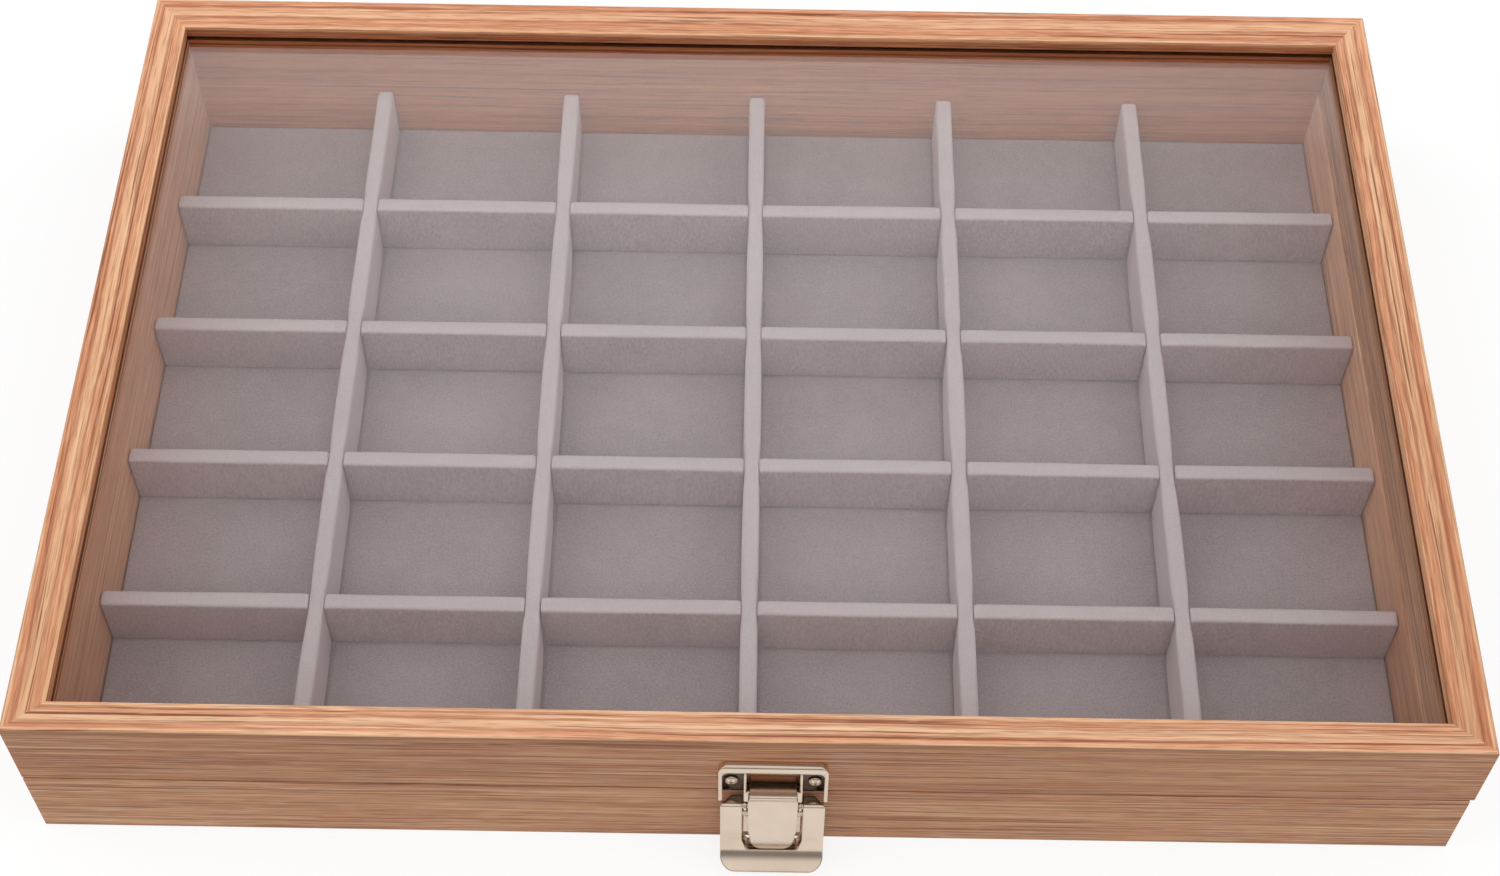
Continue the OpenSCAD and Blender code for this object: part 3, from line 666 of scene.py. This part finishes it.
# Velvet strips, which take the places of the plain CAD solids
STRIP_SWELL = 1.06
STRIP_BELLY = 0.025
STRIP_CROWN = 0.06 * MM
STRIP_STEP = 2.0 * MM
# Round of the upper edges, and the most of the half width that it takes
STRIP_EDGE = 0.85 * MM
EDGE_SHARE = 0.72
# Points on a strip's side and round its upper edge
SIDE_POINTS = 7
EDGE_POINTS = 5
# How deep the strips press into the pad, and the share of it that they reach down
PRESSED = 0.5 * MM
FOOT_SHARE = 0.8
# Slots: play beside the crossing strip and between the two slots of a crossing
SLOT_PLAY = 0.22 * MM
SPLIT_PLAY = 0.1 * MM
# A strip narrows to its waist at a crossing, over a flat stretch and then a length that varies
WAIST = 0.85
WAIST_FLAT = 2.0 * MM
WAIST_REACH = (2.0 * MM, 10.0 * MM)
# Where the noise is read for that length, before and after a crossing: per seed, per crossing, and its row
BEFORE_SPOT = (3.1, 5.7, 1.5)
AFTER_SPOT = (2.3, 4.9, 8.5)
# Rounded ends: how long they are, how far the top drops and the share of that by which each side draws in
END_LENGTH = 1.2 * MM
END_DROP = 0.55 * MM
END_NARROW = 0.5
# Unevenness of width, line and top: what its seed adds to the strip's, its size and its wavelength
WIDTH_WAVE = (0, 0.10 * MM, 21.0 * MM)
LINE_WAVE = (40, 0.16 * MM, 45.0 * MM)
TOP_WAVE = (80, 0.12 * MM, 30.0 * MM)
WAVE_SPREAD = 7.3
WAVE_ROW = 0.5
TOP_MARGIN = 0.05 * MM
# Distances from an end or a slot's wall at which the mesh has a ring
RING_PLACES = (0.0, 0.15 * MM, 0.4 * MM, 0.8 * MM, 1.4 * MM, 2.2 * MM)

column_names = sorted(n for n in nodes if n.startswith("divider_column"))
row_names = sorted(n for n in nodes if n.startswith("divider_row"))
column_x = [middle_of(n, 0) for n in column_names]
row_y = [middle_of(n, 1) for n in row_names]


class Strip:
    """Strip wrapped in velvet. Its slots are open on top or below, as the crossing strips need."""

    def __init__(self, node, axis, crossings, slots_on_top, seed):
        self.node = node
        self.axis = axis
        self.across = 1 - axis
        self.crossings = crossings
        self.slots_on_top = slots_on_top
        self.seed = seed
        self.low, self.high = (Vector(v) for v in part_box(node))
        self.middle = (self.low[self.across] + self.high[self.across]) / 2
        self.half = (self.high[self.across] - self.low[self.across]) / 2 * STRIP_SWELL
        self.foot = self.low[2] - PRESSED * FOOT_SHARE
        self.split = (self.low[2] + self.high[2]) / 2 + (-SPLIT_PLAY if slots_on_top else SPLIT_PLAY)
        slot_half = (self.half * WAIST if slots_on_top else self.half) + SLOT_PLAY
        self.walls = [(c - slot_half, c + slot_half) for c in crossings]
        self.reaches = [(self.reach(i, *BEFORE_SPOT), self.reach(i, *AFTER_SPOT))
                        for i in range(len(crossings))]

    def reach(self, crossing, per_seed, per_crossing, row):
        least, vary = WAIST_REACH
        return least + vary * abs(noise.noise(Vector((self.seed * per_seed, crossing * per_crossing, row))))

    def wave(self, t, extra_seed, size, wavelength):
        """Slow handmade unevenness along the strip."""
        return size * noise.noise(Vector((t / wavelength, (self.seed + extra_seed) * WAVE_SPREAD, WAVE_ROW)))

    def places(self):
        """Places along the strip: close together at its ends and at the walls of its slots."""
        start, end = self.low[self.axis], self.high[self.axis]
        keys = {start + d for d in RING_PLACES} | {end - d for d in RING_PLACES}
        for low, high in self.walls:
            keys |= {low - d for d in RING_PLACES} | {high + d for d in RING_PLACES} | {(low + high) / 2}
        return subdivide((k for k in keys if start - 1e-9 <= k <= end + 1e-9), STRIP_STEP)

    def in_slot(self, t):
        return any(low < t < high for low, high in self.walls)

    def end_drop(self, t):
        """How far the top drops where the strip or one of its upper parts ends."""
        gaps = [t - self.low[self.axis], self.high[self.axis] - t]
        if self.slots_on_top:
            gaps += [abs(t - wall) for pair in self.walls for wall in pair]
        gap = max(0.0, min(gaps + [END_LENGTH]))
        return END_DROP * (1 - math.sqrt(max(0.0, 1 - (1 - gap / END_LENGTH) ** 2)))

    def pinch(self, t):
        """How near the strip is to its waist, from 0 to 1. Only the strips that run through have one."""
        if self.slots_on_top:
            return 0.0
        nearest = 0.0
        for crossing, (before, after) in zip(self.crossings, self.reaches):
            beyond = max(0.0, abs(t - crossing) - WAIST_FLAT)
            nearest = max(nearest, math.exp(-(beyond / (before if t < crossing else after)) ** 2))
        return nearest

    def section(self, t):
        """Outline across the strip, from its foot on one side over the top to its foot on the other."""
        drop = self.end_drop(t)
        half = self.half * (1 - (1 - WAIST) * self.pinch(t)) + self.wave(t, *WIDTH_WAVE) - drop * END_NARROW
        shift = self.middle + self.wave(t, *LINE_WAVE)
        top = self.high[2] - drop + self.wave(t, *TOP_WAVE) - TOP_MARGIN
        radius = min(STRIP_EDGE, half * EDGE_SHARE)
        points = []
        for i in range(SIDE_POINTS):
            f = i / (SIDE_POINTS - 1)
            belly = 1 + STRIP_BELLY * math.sin(math.pi * f)
            if f <= 0.5:
                z = self.foot + (self.split - self.foot) * (f * 2)
            else:
                z = self.split + (top - radius - self.split) * (f * 2 - 1)
            points.append((-half * belly, z))
        for i in range(1, EDGE_POINTS + 1):
            a = math.pi / 2 * i / EDGE_POINTS
            points.append((-half + radius - radius * math.cos(a), top - radius + radius * math.sin(a)))
        points.append((0.0, top + STRIP_CROWN))
        points += [(-u, z) for u, z in reversed(points[:-1])]
        return [(shift + u, z) for u, z in points]

    def ring(self, bm, t):
        ring = []
        for u, z in self.section(t):
            spot = [0.0, 0.0, z]
            spot[self.axis] = t
            spot[self.across] = u
            ring.append(bm.verts.new(spot))
        return ring

    def build(self):
        bm = bmesh.new()
        places = self.places()
        rings = [self.ring(bm, t) for t in places]
        count = len(rings[0])
        half_way = SIDE_POINTS // 2
        lower = list(range(half_way + 1)) + list(range(count - 1 - half_way, count))
        upper = list(range(half_way, count - half_way))
        kept, cut = (lower, upper) if self.slots_on_top else (upper, lower)
        slotted = [self.in_slot((a + b) / 2) for a, b in zip(places, places[1:])]
        for a, b, in_slot in zip(rings, rings[1:], slotted):
            bridge(bm, a, b, kept if in_slot else list(range(count)))
        for ring, before, after in zip(rings[1:], slotted, slotted[1:]):
            if before != after:
                bm.faces.new([ring[i] for i in cut])
        bm.faces.new(rings[0])
        bm.faces.new(rings[-1])
        loose = [v for v in bm.verts if not v.link_faces]
        bmesh.ops.delete(bm, geom=loose, context="VERTS")
        add_piece(self.node + "_velvet", bm, velvet_strip, "base", self.node)


COLUMN_SEED = 3
ROW_SEED = 13
for i, name in enumerate(column_names):
    Strip(name, axis=1, crossings=row_y, slots_on_top=False, seed=COLUMN_SEED + i).build()
for i, name in enumerate(row_names):
    Strip(name, axis=0, crossings=column_x, slots_on_top=True, seed=ROW_SEED + i).build()


# Velvet floor pad
PAD_EDGE = 0.8 * MM
PAD_STEP = 4.0 * MM
# Unevenness of the pad: its size, its wavelength and the row of the noise
PAD_WAVE = (0.10 * MM, 30.0 * MM, 3.0)
# Half width of the groove that a strip presses, and how softly it ends
GROOVE_HALF = 2.3 * MM
GROOVE_SOFT = 0.45 * MM
# Distances from the pad's rim and from a strip's middle at which the mesh has a line
RIM_PLACES = (0.0, 0.1 * MM, 0.35 * MM, 0.8 * MM, 1.6 * MM)
GROOVE_PLACES = (0.0, 1.6 * MM, 2.25 * MM, 2.5 * MM, 2.75 * MM, 3.1 * MM, 3.6 * MM, 4.6 * MM)


def pad_lines(low, high, strips):
    """Grid lines that are close together at the rim of the pad and where strips press on it."""
    keys = {low + d for d in RIM_PLACES} | {high - d for d in RIM_PLACES}
    for middle in strips:
        keys |= {middle + side * d for d in GROOVE_PLACES for side in (-1, 1)}
    return subdivide(keys, PAD_STEP)


def pressed(distance):
    return PRESSED * math.exp(-(max(0.0, distance - GROOVE_HALF) / GROOVE_SOFT) ** 2)


def floor_pad_piece():
    """Velvet floor, pressed down under the strips and rounded at its edges."""
    low, high = (Vector(v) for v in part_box("floor_pad"))
    xs = pad_lines(low[0], high[0], column_x)
    ys = pad_lines(low[1], high[1], row_y)

    def surface(x, y):
        gap = min(x - low[0], high[0] - x, y - low[1], high[1] - y)
        fall = PAD_EDGE - math.sqrt(max(0.0, PAD_EDGE ** 2 - (PAD_EDGE - min(gap, PAD_EDGE)) ** 2))
        press = max([pressed(abs(x - c)) for c in column_x] + [pressed(abs(y - r)) for r in row_y])
        size, wavelength, row = PAD_WAVE
        uneven = size * noise.noise(Vector((x / wavelength, y / wavelength, row)))
        return high[2] - fall - press + min(0.0, uneven)

    bm = bmesh.new()
    upper = [[bm.verts.new((x, y, surface(x, y))) for x in xs] for y in ys]
    lower = [[bm.verts.new((x, y, low[2])) for x in xs] for y in ys]
    nx, ny = len(xs), len(ys)
    for sheet in (upper, lower):
        for j in range(ny - 1):
            for i in range(nx - 1):
                bm.faces.new((sheet[j][i], sheet[j][i + 1], sheet[j + 1][i + 1], sheet[j + 1][i]))
    rim = [(0, i) for i in range(nx)] + [(j, nx - 1) for j in range(1, ny)]
    rim += [(ny - 1, i) for i in range(nx - 2, -1, -1)] + [(j, 0) for j in range(ny - 2, 0, -1)]
    for (j, i), (q, p) in zip(rim, rim[1:] + rim[:1]):
        bm.faces.new((upper[j][i], upper[q][p], lower[q][p], lower[j][i]))
    pad = add_piece("floor_pad_velvet", bm, velvet_floor, "base", "floor_pad")


floor_pad_piece()


# Glass pane
PANE_REST = 0.08 * MM
PANE_GROUND = 0.3 * MM


def pane_piece():
    """Glass pane with ground edges, which rests a hair above the ledge of its groove."""
    low, high = (Vector(v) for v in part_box("glass_pane"))
    low.z += PANE_REST
    bm = bmesh.new()
    bmesh.ops.create_cube(bm, size=1.0)
    for v in bm.verts:
        v.co = Vector((low[i] if v.co[i] < 0 else high[i] for i in range(3)))
    bmesh.ops.bevel(bm, geom=bm.edges[:], offset=PANE_GROUND, segments=2, affect="EDGES", profile=0.5)
    pane = add_piece("glass_pane_clear", bm, glass, "lid", "glass_pane")
    for face in pane.data.polygons:
        face.use_smooth = False


pane_piece()


# The lever's sheet in the CAD model: its knee, the curve below it, its lean back and its thickness
KNEE_OUT = 6.0 * MM
KNEE_LEVEL = 10.5 * MM
FLARE_RADIUS = 8.5 * MM
LEVER_LEAN = math.radians(5.4)
LEVER_SHEET = 1.0 * MM
# Flange round the lower end of the lever's window, turned in towards the case
FLANGE_HALF = 7.32 * MM
FLANGE_LOW = 6.82 * MM
FLANGE_TOP = 16.0 * MM
FLANGE_CORNER = (2.0 * MM, 3.6 * MM)
FLANGE_SHEET = 0.5 * MM
FLANGE_REACH = 2.3 * MM
# How deep the flange is sunk into the lever, the round of its free edge, and the steps of a side or corner
FLANGE_SUNK = 0.5 * MM
FLANGE_ROUND = 0.15 * MM
FLANGE_STEPS = 10


def lever_back(level):
    """How far the back of the lever's sheet stands out from the front of the case at a height."""
    if level > KNEE_LEVEL:
        return KNEE_OUT - (level - KNEE_LEVEL) * math.tan(LEVER_LEAN) - LEVER_SHEET
    drop = KNEE_LEVEL + FLARE_RADIUS * math.sin(LEVER_LEAN) - level
    centre = KNEE_OUT + FLARE_RADIUS * math.cos(LEVER_LEAN)
    return centre - math.sqrt((FLARE_RADIUS + LEVER_SHEET) ** 2 - drop ** 2)


def flange_outline():
    """Points round the window's lower end, each with the way out of the window there."""
    wide, tall = FLANGE_CORNER
    corner = FLANGE_LOW + tall
    half = [(FLANGE_HALF, FLANGE_TOP + (corner - FLANGE_TOP) * i / FLANGE_STEPS, 1.0, 0.0)
            for i in range(FLANGE_STEPS)]
    for i in range(FLANGE_STEPS + 1):
        a = math.pi / 2 * i / FLANGE_STEPS
        aim = Vector((tall * math.cos(a), wide * math.sin(a))).normalized()
        half.append((FLANGE_HALF - wide * (1 - math.cos(a)), corner - tall * math.sin(a), aim[0], aim[1]))
    return half + [(-x, level, -out, down) for x, level, out, down in reversed(half)]


def window_flange_piece():
    section = (
        (0.0, -FLANGE_SUNK), (0.0, FLANGE_REACH - FLANGE_ROUND), (FLANGE_ROUND, FLANGE_REACH),
        (FLANGE_SHEET - FLANGE_ROUND, FLANGE_REACH), (FLANGE_SHEET, FLANGE_REACH - FLANGE_ROUND),
        (FLANGE_SHEET, -FLANGE_SUNK),
    )
    middle = middle_of("latch_lever", 0)
    bm = bmesh.new()
    rings = []
    for x, level, out, down in flange_outline():
        start = -HALF_D - lever_back(level)
        rings.append([bm.verts.new((middle + x + out * thick, start + reach, level - down * thick))
                      for thick, reach in section])
    for a, b in zip(rings, rings[1:]):
        bridge(bm, a, b, list(range(len(section))))
    bm.faces.new(rings[0])
    bm.faces.new(rings[-1])
    add_piece("lever_window_flange", bm, nickel, "lever", None)


window_flange_piece()


# Floor and light
FLOOR_HALF = 6.0
# The floor's colour where it lights the case, its colour where it is seen, and the share of white in that
FLOOR_PLAIN = (0.21, 0.20, 0.19)
FLOOR_SEEN = (0.96, 0.96, 0.96)
FLOOR_WHITE_SHARE = 0.80
# Soft boxes: their direction, the closeness to it at which they start and are full, and their strength
SIDE_BOXES = (((-0.87, 0.0, 0.49), 0.72, 0.95, 2.00), ((0.87, 0.0, 0.49), 0.72, 0.95, 2.00))
BACK_BOXES = (((0.0, 0.72, 0.69), 0.80, 0.97, 0.45), ((-0.03, 0.70, 0.713), 0.955, 1.0, 0.70))
KEY_BOX = ((0.0, -0.62, 0.785), 0.84, 0.97, 2.2)
ROOM = ((0.0, -1.0, 0.0), -0.1, 0.4, 0.21)
# What is left of a box where bright metal or glass mirrors it
SIDE_MIRRORED = 0.45
KEY_MIRRORED = 0.28
# Light from all round, and what is added overhead
BASE_LIGHT = 0.07
OVERHEAD_LIGHT = 0.08
# Strip light: its lower edge and its two upper edges, as angles above the horizon behind, then its ends
STRIP_LOW = (math.radians(38), math.radians(44))
STRIP_HIGH = (
    (math.radians(46.7), math.radians(48.0), 0.65),
    (math.radians(47.0), math.radians(52.0), 0.35),
)
STRIP_ENDS = (0.40, 0.55)
STRIP_LIGHT = 0.98
LAMP_PLACE = Vector((-0.35, -0.25, 1.5))
LAMP_SIZE = (1.2, 0.9)
LAMP_ENERGY = 1.1


def stage_floor():
    """Pale floor that looks nearly white and keeps the shadow, but sends little light up to the case."""
    mesh = bpy.data.meshes.new("floor")
    corners = [(x * FLOOR_HALF, y * FLOOR_HALF, 0) for x, y in ((-1, -1), (1, -1), (1, 1), (-1, 1))]
    mesh.from_pydata(corners, [], [(0, 1, 2, 3)])
    floor = bpy.data.objects.new("floor", mesh)
    scene.collection.objects.link(floor)
    material = bpy.data.materials.new("floor")
    t = Tree(material)
    path = t.add("LightPath").outputs
    seen = t.math("MAXIMUM", path["Is Camera Ray"], path["Is Glossy Ray"])
    seen = t.math("MAXIMUM", seen, path["Is Transmission Ray"])
    plain = t.add("BsdfDiffuse", {"Color": opaque(FLOOR_PLAIN)})
    shown = t.add("BsdfDiffuse", {"Color": opaque(FLOOR_SEEN)})
    white = t.add("Emission", {"Color": (1, 1, 1, 1), "Strength": 1.0})
    pale = t.add("MixShader", {0: FLOOR_WHITE_SHARE, 1: shown.outputs[0], 2: white.outputs[0]})
    t.finish(t.add("MixShader", {0: seen, 1: plain.outputs[0], 2: pale.outputs[0]}))
    mesh.materials.append(material)


def studio_world():
    world = bpy.data.worlds.new("studio")
    scene.world = world
    t = Tree(world)
    direction = t.add("TexCoord").outputs["Generated"]
    x, y, z = t.split(direction)
    path = t.add("LightPath").outputs
    # What glass and metal mirror. Light through glass counts as glossy too.
    mirrored = t.math("SUBTRACT", path["Is Glossy Ray"], path["Is Transmission Ray"], clamp=True)

    def soft_box(axis, start, full, strength):
        toward = t.add("VectorMath", {0: direction, 1: axis}, operation="DOT_PRODUCT").outputs["Value"]
        return t.ramp(toward, start, full, 0.0, strength)

    def dimmed(share):
        """1 for what is lit, and a share of it for what is mirrored."""
        return t.ramp(mirrored, 0.0, 1.0, 1.0, share)

    height = t.math("MAXIMUM", z, 0.0)
    light = t.total(t.product(height, height, OVERHEAD_LIGHT), BASE_LIGHT)
    # Soft boxes on the left and right
    sides = t.total(*(soft_box(*box) for box in SIDE_BOXES))
    light = t.total(light, t.product(sides, dimmed(SIDE_MIRRORED)))
    # Soft boxes above the back of the table, where the glass mirrors them
    light = t.total(light, *(soft_box(*box) for box in BACK_BOXES))
    # A long strip light low behind the table, which veils the far end of the glass
    rise = t.math("ARCTAN2", z, y)
    strip = t.total(*(t.ramp(rise, start, end, share, 0.0) for start, end, share in STRIP_HIGH))
    ends = t.ramp(t.math("ABSOLUTE", x), *STRIP_ENDS, STRIP_LIGHT, 0.0)
    light = t.total(light, t.product(strip, t.ramp(rise, *STRIP_LOW), ends))
    # The key light, high in front
    light = t.total(light, t.product(soft_box(*KEY_BOX), dimmed(KEY_MIRRORED)))
    # The pale room in front, which only bright metal shows
    light = t.total(light, t.product(soft_box(*ROOM), mirrored))
    strength = t.add("Mix", {0: path["Is Camera Ray"], 2: light, 3: 1.0}, data_type="FLOAT").outputs[0]
    t.finish(t.add("Background", {"Color": (1, 1, 1, 1), "Strength": strength}), "OutputWorld")


def soft_lamp():
    data = bpy.data.lights.new("key", "AREA")
    data.shape = "RECTANGLE"
    data.size, data.size_y = LAMP_SIZE
    data.energy = LAMP_ENERGY
    lamp = bpy.data.objects.new("key", data)
    scene.collection.objects.link(lamp)
    lamp.location = LAMP_PLACE
    lamp.rotation_mode = "QUATERNION"
    lamp.rotation_quaternion = LAMP_PLACE.to_track_quat("Z", "Y")


stage_floor()
studio_world()
soft_lamp()
